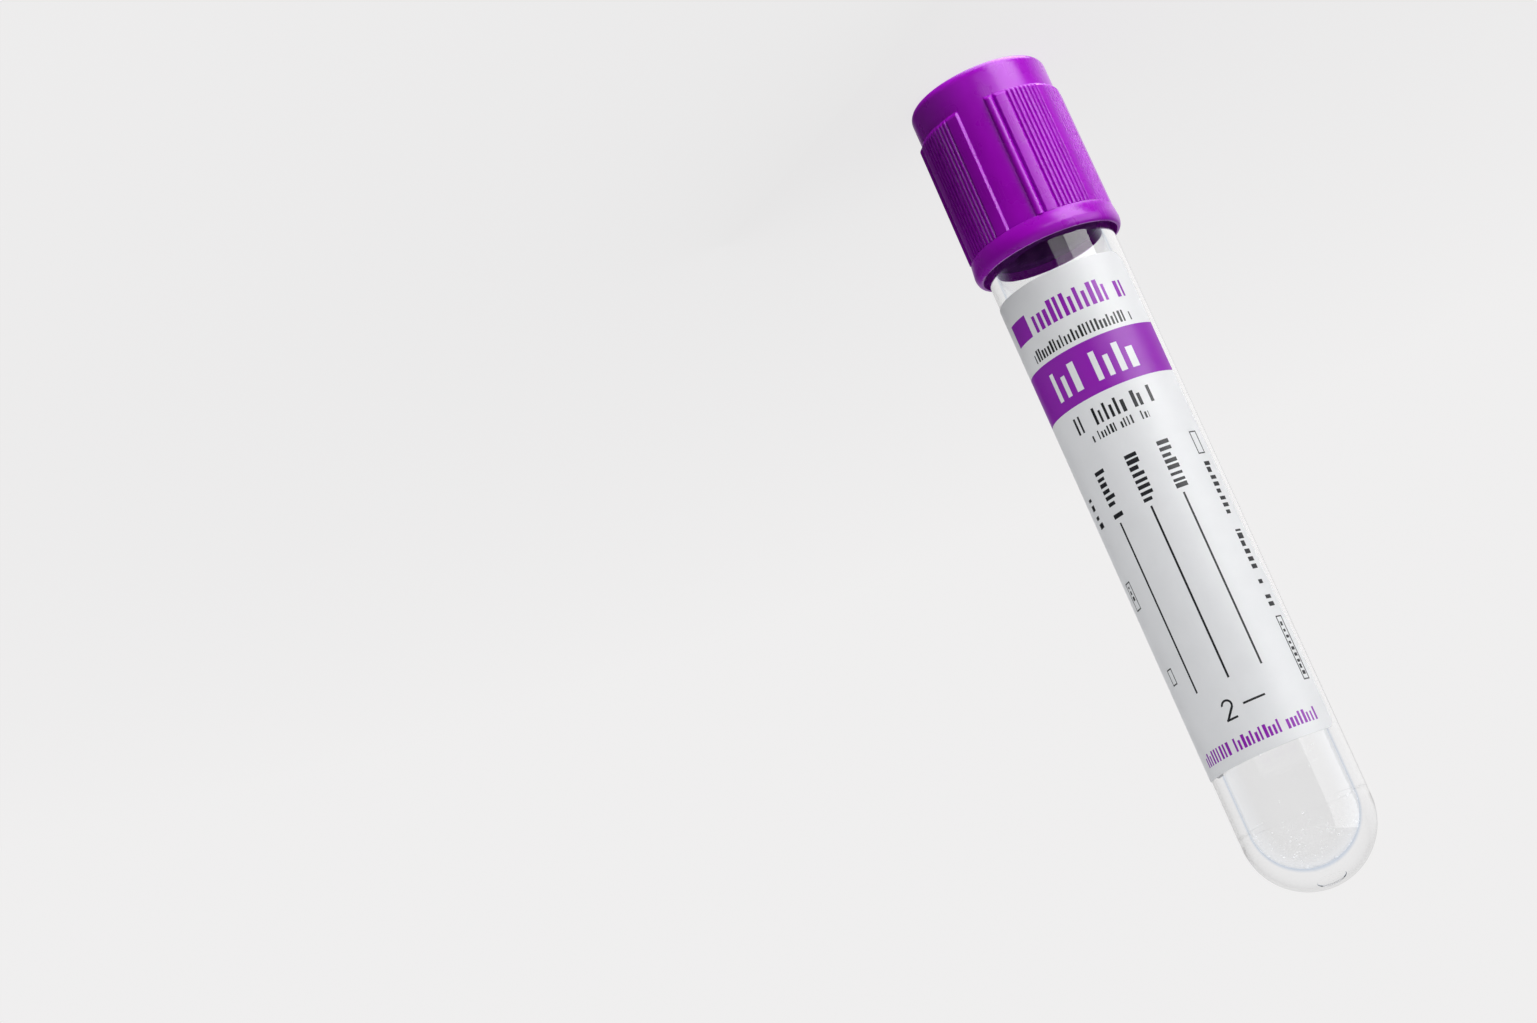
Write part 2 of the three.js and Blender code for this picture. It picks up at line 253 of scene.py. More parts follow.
def turned(name, profile, steps):
    """A closed profile of (radius, height) corners, drawn by extruding one corner and spun about Z."""
    start_clean()
    bpy.ops.mesh.primitive_plane_add(size=MM)
    piece = bpy.context.object
    piece.name = name
    piece.data.name = name
    bpy.ops.object.mode_set(mode="EDIT")
    bpy.ops.mesh.select_all(action="SELECT")
    bpy.ops.mesh.merge(type="CENTER")
    bpy.ops.transform.translate(value=(profile[0][0], 0, profile[0][1]))
    for (r, z), (next_r, next_z) in zip(profile, profile[1:] + profile[:1]):
        bpy.ops.mesh.extrude_region_move(TRANSFORM_OT_translate={"value": (next_r - r, 0, next_z - z)})
    bpy.ops.mesh.select_all(action="SELECT")
    bpy.ops.mesh.spin(steps=steps, angle=math.tau, center=(0, 0, 0), axis=(0, 0, 1))
    bpy.ops.mesh.select_all(action="SELECT")
    bpy.ops.mesh.remove_doubles(threshold=MERGE)
    bpy.ops.mesh.normals_make_consistent(inside=False)
    bpy.ops.object.mode_set(mode="OBJECT")
    return piece


def apply_modifier(piece, kind, **settings):
    start_clean()
    piece.select_set(True)
    bpy.context.view_layer.objects.active = piece
    modifier = piece.modifiers.new(kind.title(), kind)
    for key, value in settings.items():
        setattr(modifier, key, value)
    bpy.ops.object.modifier_apply(modifier=modifier.name)


def smooth(piece, sharpest):
    """Smooth shading, with a crease wherever faces meet at more than this angle."""
    start_clean()
    piece.select_set(True)
    bpy.context.view_layer.objects.active = piece
    bpy.ops.object.shade_smooth_by_angle(angle=math.radians(sharpest))


def settle(piece, body, node):
    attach(piece, body)
    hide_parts(node)


# ---------------------------------------------------------------- the pieces

def tube_slope(tube):
    """How much the radius of the tube's straight wall falls with height."""
    return tube.draft / (TIP - tube.parting_height - RIM)


def tube_profile(s):
    parting = TIP - s.parting_height
    dome = s.radius - s.draft - s.parting_step
    inner = s.radius - s.wall - s.bore_draft
    bore = s.radius - s.wall
    inner_z = TIP - s.bottom_wall - inner
    pip_z = inner_z + inner - s.pip_height
    pip_turn = math.degrees(math.acos(s.pip_radius / inner))
    return [
        *arc(s.radius - s.rim_round, RIM + s.rim_round, s.rim_round, s.rim_round, -90, 0, 5),
        (s.radius - s.draft, parting),
        (dome + s.parting_step / 2, parting + s.parting_step / 4),
        (dome, parting + s.parting_step),
        *arc(0, TIP - dome, dome, dome, 0, 90, 28),
        (0, pip_z),
        *arc(s.pip_radius - s.pip_edge, pip_z + s.pip_edge, s.pip_edge, s.pip_edge, -90, 0, 4),
        *arc(0, inner_z, inner, inner, pip_turn, 0, 24),
        (bore, RIM + s.lead_in),
        (bore + s.lead_in, RIM),
    ]


def stopper_profile(s, tube):
    plug = tube.radius - tube.wall - s.clearance
    core = plug - s.relief
    head = tube.radius - s.head_inset
    neck = head - s.neck_depth
    low = STOPPER_LOW.z
    end = STOPPER_HIGH.z
    lip = RIM - s.lip_height
    neck_z = lip - s.neck_height
    well = low + s.well_depth
    hollow = end - s.hollow_depth
    hollow_top = s.hollow_radius - s.hollow_draft
    last_seal = end - s.taper_length - s.seal_height
    edge = s.head_edge
    return [
        (s.well_radius + edge, low),
        *arc(head - edge, low + edge, edge, edge, -90, 0, 5),
        (head, neck_z - s.neck_depth),
        (neck, neck_z),
        (neck, lip),
        (head, lip + edge),
        *arc(head - edge / 2, RIM - edge / 2, edge / 2, edge / 2, 0, 90, 4),
        (plug, RIM),
        (plug, RIM + s.seal_height),
        (core, RIM + s.seal_height + s.relief),
        (core, last_seal - s.relief),
        (plug, last_seal),
        (plug, end - s.taper_length),
        *arc(plug - s.taper, end - s.taper, s.taper, s.taper, 20, 90, 6),
        *arc(s.hollow_radius + edge, end - edge, edge, edge, 90, 180, 5),
        *arc(0, hollow + hollow_top, hollow_top, -hollow_top, 0, 90, 12),
        (0, well),
        *arc(s.well_radius - edge, well - edge, edge, edge, 90, 0, 4),
        (s.well_radius, low + edge),
    ]


def cap_profile(s, tube, stopper):
    """The cap's shell. The grip zone is a plain wall with a ring wherever the grip pattern changes."""
    head = tube.radius - stopper.head_inset
    collar = head + s.collar_clearance
    snap = head - s.snap_bite
    snap_z = RIM - stopper.lip_height - stopper.neck_height / 2
    snap_half = stopper.neck_height / 2 - s.snap_relief
    drafted = s.radius + s.draft
    flange = drafted + s.flange_proud
    mouth = tube.radius + s.mouth_clearance
    flange_z = SKIRT_END - s.flange_height
    rings = [s.band_height + s.pad_shoulder * i / 6 for i in range(-1, 8)]
    rings += [flange_z - s.ring_gap]
    wall = [(s.radius + s.draft * (z - s.band_height) / (flange_z - s.band_height), z) for z in rings]
    return [
        *arc(s.port_radius + s.port_flare * 2, s.port_flare, s.port_flare, s.port_flare, -150, -90, 4),
        *arc(s.radius - s.edge, s.edge, s.edge, s.edge, -90, 0, 8),
        *wall,
        (drafted, flange_z),
        (flange - s.flange_ledge - s.flange_bevel, flange_z),
        (flange - s.flange_ledge, flange_z + s.flange_bevel),
        *arc(flange - s.lip_round, SKIRT_END - s.lip_drop, s.lip_round, s.lip_drop, 0, 90, 12),
        (mouth, SKIRT_END),
        (mouth, SKIRT_END - s.mouth_depth + mouth - s.skirt_radius),
        (s.skirt_radius, SKIRT_END - s.mouth_depth),
        (s.skirt_radius, RIM + s.collar_clearance),
        (collar, RIM - s.snap_relief),
        (collar, snap_z + snap_half),
        (snap, snap_z + snap_half - s.snap_relief),
        (snap, snap_z),
        (collar, snap_z - (collar - snap)),
        (collar, s.top_wall),
        (s.port_radius, s.top_wall),
        (s.port_radius, s.port_flare),
    ]


def eased(x):
    """0 below 0, 1 above 1 and a soft step between."""
    x = min(1.0, max(0.0, x))
    return x * x * (3 - 2 * x)


def pad_layout(s, first_strip, groups):
    """A pad's groove middles, counted from where the pad starts, and its span."""
    grooves = []
    along = first_strip
    for count in groups:
        grooves += [along + i * s.groove_pitch for i in range(count)]
        along += (count - 1) * s.groove_pitch + s.plain_strip
    return grooves, along


def grip_layout(s):
    """The pads of one half of the cap as (start, groove middles, span), and where its beads start."""
    short_grooves, short_span = pad_layout(s, s.plain_strip, (s.short_grooves,))
    long_grooves, long_span = pad_layout(s, s.lead_strip, (s.long_grooves, s.side_grooves))
    short_start = s.long_pad_start - s.wide_gap - short_span
    narrow_middle = (s.long_pad_start + long_span + short_start + math.pi) / 2
    pads = ((short_start, short_grooves, short_span), (s.long_pad_start, long_grooves, long_span))
    return pads, (s.long_pad_start - s.bead_gap - s.bead_width, narrow_middle - s.bead_width / 2)


def grip_height(s, layout, angle):
    """How far the grip pattern stands out of the shell at an angle, in metres."""
    pads, beads = layout
    edge = s.pad_rounding / 2
    best = 0.0
    for start in beads:
        bead = (angle - start) % math.pi / s.bead_width * 2 - 1
        if -1 < bead < 1:
            best = max(best, s.bead_proud * math.sqrt(1 - bead * bead))
    for start, grooves, span in pads:
        across = (angle - start + edge) % math.pi - edge
        if across < span + edge:
            side = min(eased((across + edge) / (2 * edge)), eased((span + edge - across) / (2 * edge)))
            away = min(abs(across - groove) for groove in grooves) / (s.groove_width / 2)
            height = s.pad_proud * side
            if away < 1:
                height -= s.groove_depth * (0.5 + 0.5 * math.cos(math.pi * away))
            best = max(best, height)
    return best


def raise_grip(piece, s):
    """Weights the grip zone by the pattern and lifts it along its normals."""
    tallest = max(s.bead_proud, s.pad_proud)
    flange_z = SKIRT_END - s.flange_height
    group = piece.vertex_groups.new(name="grip")
    layout = grip_layout(s)
    heights = {}
    inside = (s.skirt_radius + s.radius) / 2
    for vertex in piece.data.vertices:
        x, y, z = vertex.co
        if not s.band_height < z < flange_z - s.ring_gap / 2 or math.hypot(x, y) < inside:
            continue
        angle = round(math.atan2(-x, -y), 5)
        if angle not in heights:
            heights[angle] = grip_height(s, layout, angle)
        end = math.sqrt(eased((z - s.band_height) / s.pad_shoulder))
        weight = heights[angle] * end / tallest
        if weight > 0:
            group.add([vertex.index], weight, "REPLACE")
    apply_modifier(piece, "DISPLACE", direction="NORMAL", mid_level=0, strength=tallest,
                   vertex_group=group.name)
    piece.vertex_groups.clear()


def label_radius(s, tube):
    """Radius of the label's underside where the tube's wall would reach the bench."""
    return tube.radius + tube_slope(tube) * RIM + s.glue


def flat_label(s, radius):
    """The label flat in X and Z, facing -Y, rounded at its corners and cut into columns."""
    start_clean()
    bpy.ops.mesh.primitive_plane_add(size=1, rotation=(math.pi / 2, 0, 0))
    piece = bpy.context.object
    piece.name = "wrapped_label"
    piece.data.name = "wrapped_label"
    bpy.ops.object.transform_apply(rotation=True)
    wide = s.wrap * radius
    tall = LABEL_HIGH.z - LABEL_LOW.z
    middle = (s.wrap / 2 - s.end) * radius
    bpy.ops.object.mode_set(mode="EDIT")
    bpy.ops.mesh.select_all(action="SELECT")
    bpy.ops.transform.resize(value=(wide, 1, tall))
    bpy.ops.transform.translate(value=(middle, 0, (LABEL_LOW.z + LABEL_HIGH.z) / 2))
    bpy.ops.mesh.bevel(affect="VERTICES", offset_type="OFFSET", offset=s.corner, segments=8, profile=0.5)
    for i in range(1, s.columns):
        bpy.ops.mesh.select_all(action="SELECT")
        cut = (middle + wide * (i / s.columns - 0.5), 0, 0)
        bpy.ops.mesh.bisect(plane_co=cut, plane_no=(1, 0, 0))
    bpy.ops.object.mode_set(mode="OBJECT")
    print_map = piece.data.uv_layers[0] if piece.data.uv_layers else piece.data.uv_layers.new(name="UVMap")
    print_map.name = "print"
    for loop in piece.data.loops:
        x, y, z = piece.data.vertices[loop.vertex_index].co
        print_map.data[loop.index].uv = ((x - middle) / wide + 0.5, (z - LABEL_LOW.z) / tall)
    return piece


def wrap_round(piece, s, tube):
    """Bends the flat label round the tube, narrows it with the tube's draft and gives it its thickness."""
    radius = label_radius(s, tube)
    apply_modifier(piece, "SIMPLE_DEFORM", deform_method="BEND", deform_axis="Z", angle=s.wrap)
    bpy.ops.object.mode_set(mode="EDIT")
    bpy.ops.mesh.select_all(action="SELECT")
    bpy.ops.transform.translate(value=(0, -radius, 0))
    bpy.ops.object.mode_set(mode="OBJECT")
    narrowing = -tube_slope(tube) * (LABEL_HIGH.z - LABEL_LOW.z) / radius
    apply_modifier(piece, "SIMPLE_DEFORM", deform_method="TAPER", deform_axis="Z", factor=narrowing)
    apply_modifier(piece, "SOLIDIFY", thickness=s.thickness, offset=1)


def droplet_places(s, tube):
    """Seeded places on the inside of the tube and their outward directions, most of them in the round end."""
    draw = random.Random(s.seed)
    inner = tube.radius - tube.wall - tube.bore_draft
    inner_z = TIP - tube.bottom_wall - inner
    spread = math.acos(tube.pip_radius / inner) - 0.1
    for i in range(s.count):
        turn = draw.uniform(0, math.tau)
        if i < s.count * s.end_share:
            rise = math.asin(draw.uniform(0, math.sin(spread)))
            level_part = math.cos(rise)
            out = Vector((level_part * math.cos(turn), level_part * math.sin(turn), math.sin(rise)))
            yield Vector((0, 0, inner_z)) + out * inner, out, draw
        else:
            z = draw.uniform(STOPPER_HIGH.z + 1 * MM, inner_z)
            out = Vector((math.cos(turn), math.sin(turn), 0))
            bore = inner + tube.bore_draft * (inner_z - z) / (inner_z - RIM)
            yield Vector((0, 0, z)) + out * bore, out, draw


def droplets(s, tube):
    """Small flattened domes, copied from one with a mesh each and joined in the end."""
    start_clean()
    bpy.ops.mesh.primitive_ico_sphere_add(subdivisions=1, radius=1)
    first = bpy.context.object
    smooth(first, 180)
    copies = []
    for place, out, draw in droplet_places(s, tube):
        size = s.smallest + (s.largest - s.smallest) * draw.random() ** 4
        copy = bpy.data.objects.new("additive_droplets", first.data.copy())
        bpy.context.scene.collection.objects.link(copy)
        copy.location = place - out * (size * s.flatness + s.gap)
        copy.rotation_euler = out.to_track_quat("Z", "Y").to_euler()
        copy.scale = (size, size * draw.uniform(0.8, 1.2), size * s.flatness)
        copies.append(copy)
    bpy.data.objects.remove(first)
    start_clean()
    for copy in copies:
        copy.select_set(True)
    bpy.context.view_layer.objects.active = copies[0]
    bpy.ops.object.join()
    bpy.ops.object.transform_apply(location=True, rotation=True, scale=True)
    piece = bpy.context.object
    piece.name = "additive_droplets"
    piece.data.name = "additive_droplets"
    return piece


class TUBE_OT_clear_tube(bpy.types.Operator):
    """Turns the clear tube with its round end, parting line and gate pip"""

    bl_idname = "specimen.clear_tube"
    bl_label = "Clear tube"

    def execute(self, context):
        s = context.scene.specimen_tube
        piece = turned("clear_tube", tube_profile(s), s.steps)
        smooth(piece, 25)
        piece.data.materials.append(clear_plastic(s))
        settle(piece, "tube", "tube")
        return {"FINISHED"}


class TUBE_OT_droplets(bpy.types.Operator):
    """Scatters dried droplets of additive on the inside of the tube"""

    bl_idname = "specimen.droplets"
    bl_label = "Additive droplets"

    def execute(self, context):
        scene = context.scene
        piece = droplets(scene.specimen_droplets, scene.specimen_tube)
        piece.data.materials.append(dried_additive_painted_glow())
        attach(piece, "tube")
        return {"FINISHED"}


class TUBE_OT_rubber_stopper(bpy.types.Operator):
    """Turns the rubber stopper with its needle well, neck, seals and hollow"""

    bl_idname = "specimen.rubber_stopper"
    bl_label = "Rubber stopper"

    def execute(self, context):
        s = context.scene.specimen_stopper
        piece = turned("stopper_rubber", stopper_profile(s, context.scene.specimen_tube), s.steps)
        smooth(piece, 35)
        piece.data.materials.append(stopper_rubber(s))
        settle(piece, "stopper", "rubber_stopper")
        return {"FINISHED"}


class TUBE_OT_ribbed_cap(bpy.types.Operator):
    """Turns the cap's shell and raises its rib pads and beads"""

    bl_idname = "specimen.ribbed_cap"
    bl_label = "Ribbed cap"

    def execute(self, context):
        scene = context.scene
        s = scene.specimen_cap
        piece = turned("ribbed_cap", cap_profile(s, scene.specimen_tube, scene.specimen_stopper), s.steps)
        raise_grip(piece, s)
        smooth(piece, 50)
        piece.data.materials.append(purple_plastic(s))
        settle(piece, "cap", "cap_shield")
        return {"FINISHED"}


class TUBE_OT_wrapped_label(bpy.types.Operator):
    """Cuts the label flat, bends it round the tube and gives it its thickness"""

    bl_idname = "specimen.wrapped_label"
    bl_label = "Wrapped label"

    def execute(self, context):
        s = context.scene.specimen_label
        tube = context.scene.specimen_tube
        piece = flat_label(s, label_radius(s, tube))
        wrap_round(piece, s, tube)
        smooth(piece, 30)
        piece.data.materials.append(label_paper(s, tube.radius + s.glue + s.thickness))
        settle(piece, "tube", "label")
        return {"FINISHED"}


# ---------------------------------------------------------------- shader helpers

def node(tree, kind, **inputs):
    """Adds a shader node. Inputs are given by name, with _ for a space, as a value or a socket to link."""
    made = tree.nodes.new(kind)
    for key, value in inputs.items():
        plug(tree, made, key.replace("_", " "), value)
    return made


def plug(tree, made, name, value):
    socket = made.inputs[name]
    if isinstance(value, bpy.types.NodeSocket):
        tree.links.new(value, socket)
    else:
        socket.default_value = value


def math_node(tree, operation, *values, clamp=False):
    made = tree.nodes.new("ShaderNodeMath")
    made.operation = operation
    made.use_clamp = clamp
    for i, value in enumerate(values):
        plug(tree, made, i, value)
    return made.outputs[0]


def blend(tree, factor, low, high):
    """low + (high - low) * factor for plain numbers"""
    span = math_node(tree, "SUBTRACT", high, low)
    return math_node(tree, "MULTIPLY_ADD", factor, span, low)


def group_node(tree, group):
    made = tree.nodes.new("ShaderNodeGroup")
    made.node_tree = group
    return made


def new_group(name, inputs, outputs):
    """A shader node group. inputs and outputs give each socket's name and kind: Float, Vector or Color."""
    group = bpy.data.node_groups.new(name, "ShaderNodeTree")
    for way, sockets in (("INPUT", inputs), ("OUTPUT", outputs)):
        for title, kind in sockets.items():
            group.interface.new_socket(name=title, in_out=way, socket_type="NodeSocket" + kind)
    start = group.nodes.new("NodeGroupInput")
    end = group.nodes.new("NodeGroupOutput")
    return group, start.outputs, end.inputs


def noise(tree, vector, scale, detail=2.0, roughness=0.5):
    made = tree.nodes.new("ShaderNodeTexNoise")
    plug(tree, made, "Vector", vector)
    for name, value in (("Scale", scale), ("Detail", detail), ("Roughness", roughness)):
        plug(tree, made, name, value)
    return made.outputs[0]


def ramped(tree, value, low, high, to_low=0.0, to_high=1.0):
    made = node(tree, "ShaderNodeMapRange", Value=value, From_Min=low, From_Max=high)
    plug(tree, made, "To Min", to_low)
    plug(tree, made, "To Max", to_high)
    return made.outputs[0]


def mixed(tree, factor, low, high):
    """One colour going over into another."""
    made = tree.nodes.new("ShaderNodeMix")
    made.data_type = "RGBA"
    plug(tree, made, 0, factor)
    for i, value in ((6, low), (7, high)):
        plug(tree, made, i, value if isinstance(value, bpy.types.NodeSocket) else (*value, 1))
    return made.outputs[2]


def object_place(tree, stretch=(1, 1, 1)):
    mapping = node(tree, "ShaderNodeMapping", Vector=tree.nodes.new("ShaderNodeTexCoord").outputs["Object"])
    mapping.inputs["Scale"].default_value = stretch
    return mapping.outputs[0]


def bumped(tree, shader, height, distance, strength=1.0):
    made = node(tree, "ShaderNodeBump", Height=height, Distance=distance, Strength=strength)
    tree.links.new(made.outputs[0], shader.inputs["Normal"])


def moulded_grain():
    """Mould surface: a broad cloud, a fine grain and sparse hairline scuffs, each from 0 to 1."""
    if "moulded_grain" in bpy.data.node_groups:
        return bpy.data.node_groups["moulded_grain"]
    group, given, result = new_group(
        "moulded_grain",
        {"Place": "Vector", "Cloud size": "Float", "Grain size": "Float"},
        {"Cloud": "Float", "Grain": "Float", "Scuff": "Float"},
    )
    cloud_scale = math_node(group, "DIVIDE", 1.0, given["Cloud size"])
    grain_scale = math_node(group, "DIVIDE", 1.0, given["Grain size"])
    group.links.new(noise(group, given["Place"], cloud_scale, 3.0), result["Cloud"])
    group.links.new(noise(group, given["Place"], grain_scale, 2.0), result["Grain"])
    hair = node(group, "ShaderNodeMapping", Vector=given["Place"])
    hair.inputs["Rotation"].default_value = (0.5, 0.3, 0.2)
    hair.inputs["Scale"].default_value = (12, 1, 0.6)
    streak = noise(group, hair.outputs[0], math_node(group, "MULTIPLY", cloud_scale, 2.0), 4.0)
    group.links.new(ramped(group, streak, 0.62, 0.7), result["Scuff"])
    return group


def grain_of(tree, place, cloud_size, grain_size):
    made = group_node(tree, moulded_grain())
    plug(tree, made, "Place", place)
    made.inputs["Cloud size"].default_value = cloud_size
    made.inputs["Grain size"].default_value = grain_size
    return made.outputs


def darker(shade, part):
    return tuple(channel * part for channel in shade)


# ---------------------------------------------------------------- materials

def new_material(name):
    material = bpy.data.materials.new(name)
    material.use_nodes = True
    return material, material.node_tree.nodes["Principled BSDF"]


def lets_lamps_through(material, shader, tint):
    """Rays from lamps pass the material with a tint, as light passes clear or thin plastic."""
    tree = material.node_tree
    open_side = tree.nodes.new("ShaderNodeBsdfTransparent")
    open_side.inputs["Color"].default_value = (*tint, 1)
    choice = tree.nodes.new("ShaderNodeMixShader")
    tree.links.new(tree.nodes.new("ShaderNodeLightPath").outputs["Is Shadow Ray"], choice.inputs[0])
    tree.links.new(shader.outputs[0], choice.inputs[1])
    tree.links.new(open_side.outputs[0], choice.inputs[2])
    tree.links.new(choice.outputs[0], tree.nodes["Material Output"].inputs["Surface"])


def clear_plastic(s):
    """Glass-clear moulded plastic with faint draw marks along the tube and a breath of haze."""
    material, shader = new_material("clear_plastic")
    tree = material.node_tree
    shader.inputs["Base Color"].default_value = (*s.tint, 1)
    shader.inputs["Transmission Weight"].default_value = 1
    shader.inputs["IOR"].default_value = 1.47
    grain = grain_of(tree, object_place(tree, (1, 1, 0.12)), 4 * MM, 1.5 * MM)
    tree.links.new(ramped(tree, grain["Cloud"], 0.35, 0.75, 0.0, 0.012), shader.inputs["Roughness"])
    bumped(tree, shader, grain["Grain"], 0.0008 * MM)
    lets_lamps_through(material, shader, (0.95, 0.955, 0.96))
    return material


def dried_additive_painted_glow():
    """Milky beads of dried spray. A weak white emission on them is a painted glow, in place of the light they
    would scatter from the back of the tube.
    """
    material, shader = new_material("dried_additive_painted_glow")
    tree = material.node_tree
    cloud = grain_of(tree, object_place(tree), 0.6 * MM, 0.05 * MM)["Cloud"]
    tree.links.new(mixed(tree, cloud, (0.86, 0.87, 0.89), (0.97, 0.97, 0.98)), shader.inputs["Base Color"])
    tree.links.new(ramped(tree, cloud, 0.3, 0.7, 0.35, 0.55), shader.inputs["Roughness"])
    shader.inputs["Transmission Weight"].default_value = 0.7
    shader.inputs["IOR"].default_value = 1.35
    # Painted glow: the beads give off a little white light of their own, standing in for light scattered
    # through them.
    shader.inputs["Emission Color"].default_value = (1, 1, 1, 1)
    shader.inputs["Emission Strength"].default_value = 0.25
    lets_lamps_through(material, shader, (0.9, 0.9, 0.9))
    return material


def stopper_rubber(s):
    """Dull moulded rubber, a little bloomed."""
    material, shader = new_material("stopper_rubber")
    tree = material.node_tree
    grain = grain_of(tree, object_place(tree), 1.5 * MM, 0.12 * MM)
    tree.links.new(mixed(tree, ramped(tree, grain["Cloud"], 0.35, 0.7), darker(s.rubber, 0.8), s.bloom),
                   shader.inputs["Base Color"])
    tree.links.new(ramped(tree, grain["Cloud"], 0.3, 0.7, 0.6, 0.8), shader.inputs["Roughness"])
    shader.inputs["Specular IOR Level"].default_value = 0
    shader.inputs["Subsurface Weight"].default_value = 0.15
    shader.inputs["Subsurface Radius"].default_value = (1, 0.2, 1.2)
    shader.inputs["Subsurface Scale"].default_value = 0.6 * MM
    bumped(tree, shader, grain["Grain"], 0.01 * MM)
    return material


def purple_plastic(s):
    """Satin moulded plastic with flow clouds, a fine spark grain and hairline scuffs."""
    material, shader = new_material("purple_plastic")
    tree = material.node_tree
    grain = grain_of(tree, object_place(tree), 2.5 * MM, 0.15 * MM)
    flow = ramped(tree, grain["Cloud"], 0.3, 0.7)
    tree.links.new(mixed(tree, flow, darker(s.plastic, 0.92), s.plastic), shader.inputs["Base Color"])
    worn = math_node(tree, "MULTIPLY", grain["Scuff"], 0.07)
    rough = math_node(tree, "ADD", ramped(tree, flow, 0, 1, s.gloss - 0.03, s.gloss + 0.03), worn)
    tree.links.new(rough, shader.inputs["Roughness"])
    shader.inputs["IOR"].default_value = 1.49
    bumped(tree, shader, grain["Grain"], 0.001 * MM)
    return material


# ---------------------------------------------------------------- the label's print

# Rows of short bars in place of words. Angles are in degrees from the front, and heights above the tube's
# round end and pitches in millimetres: ink, from, to, low, high, pitch, share of the pitch that is inked.
UPRIGHT_ROWS = (
    ("purple", -38, 48, 56.8, 59.05, 0.68, 0.56),
    ("black", -53, 45, 54.4, 55.55, 0.4, 0.5),
    ("white", -46, 34.5, 49.95, 52.8, 1.15, 0.56),
    ("black", -42, 31.5, 46.35, 48, 0.56, 0.52),
    ("black", -31, 20.5, 45.05, 45.9, 0.34, 0.5),
    ("purple", -67, 47.5, 13.95, 15.2, 0.44, 0.56),
)


def patch_group():
    """1 inside a rectangle and 0 outside it."""
    if "patch" in bpy.data.node_groups:
        return bpy.data.node_groups["patch"]
    group, given, result = new_group(
        "patch", dict.fromkeys(("X", "Y", "Left", "Right", "Low", "High"), "Float"), {"Mask": "Float"}
    )
    wide = math_node(group, "MULTIPLY", math_node(group, "GREATER_THAN", given["X"], given["Left"]),
                     math_node(group, "LESS_THAN", given["X"], given["Right"]))
    tall = math_node(group, "MULTIPLY", math_node(group, "GREATER_THAN", given["Y"], given["Low"]),
                     math_node(group, "LESS_THAN", given["Y"], given["High"]))
    group.links.new(math_node(group, "MULTIPLY", wide, tall), result["Mask"])
    return group


def bar_row_group():
    """A row of short bars of uneven width inside a rectangle."""
    if "bar_row" in bpy.data.node_groups:
        return bpy.data.node_groups["bar_row"]
    names = ("X", "Y", "Left", "Right", "Low", "High", "Pitch", "Inked")
    group, given, result = new_group("bar_row", dict.fromkeys(names, "Float"), {"Mask": "Float"})
    area = group_node(group, patch_group())
    for name in names[:6]:
        group.links.new(given[name], area.inputs[name])
    from_left = math_node(group, "SUBTRACT", given["X"], given["Left"])
    along = math_node(group, "DIVIDE", from_left, given["Pitch"])
    cell = math_node(group, "FLOOR", along)
    chance = group.nodes.new("ShaderNodeTexWhiteNoise")
    chance.noise_dimensions = "1D"
    group.links.new(math_node(group, "ADD", cell, given["Low"]), chance.inputs["W"])
    uneven = math_node(group, "MULTIPLY_ADD", chance.outputs["Value"], 0.3, -0.15)
    wide = math_node(group, "ADD", given["Inked"], uneven)
    bar = math_node(group, "LESS_THAN", math_node(group, "SUBTRACT", along, cell), wide)
    draws = node(group, "ShaderNodeSeparateColor", Color=chance.outputs["Color"]).outputs
    short = math_node(group, "MULTIPLY", math_node(group, "GREATER_THAN", draws["Green"], 0.62), 0.27)
    rise = math_node(group, "SUBTRACT", given["High"], given["Low"])
    top = math_node(group, "MULTIPLY_ADD", math_node(group, "MULTIPLY", short, rise), -1.0, given["High"])
    bar = math_node(group, "MULTIPLY", bar, math_node(group, "LESS_THAN", given["Y"], top))
    word = math_node(group, "GREATER_THAN", draws["Blue"], 0.1)
    bar = math_node(group, "MULTIPLY", bar, word)
    group.links.new(math_node(group, "MULTIPLY", area.outputs[0], bar), result["Mask"])
    return group


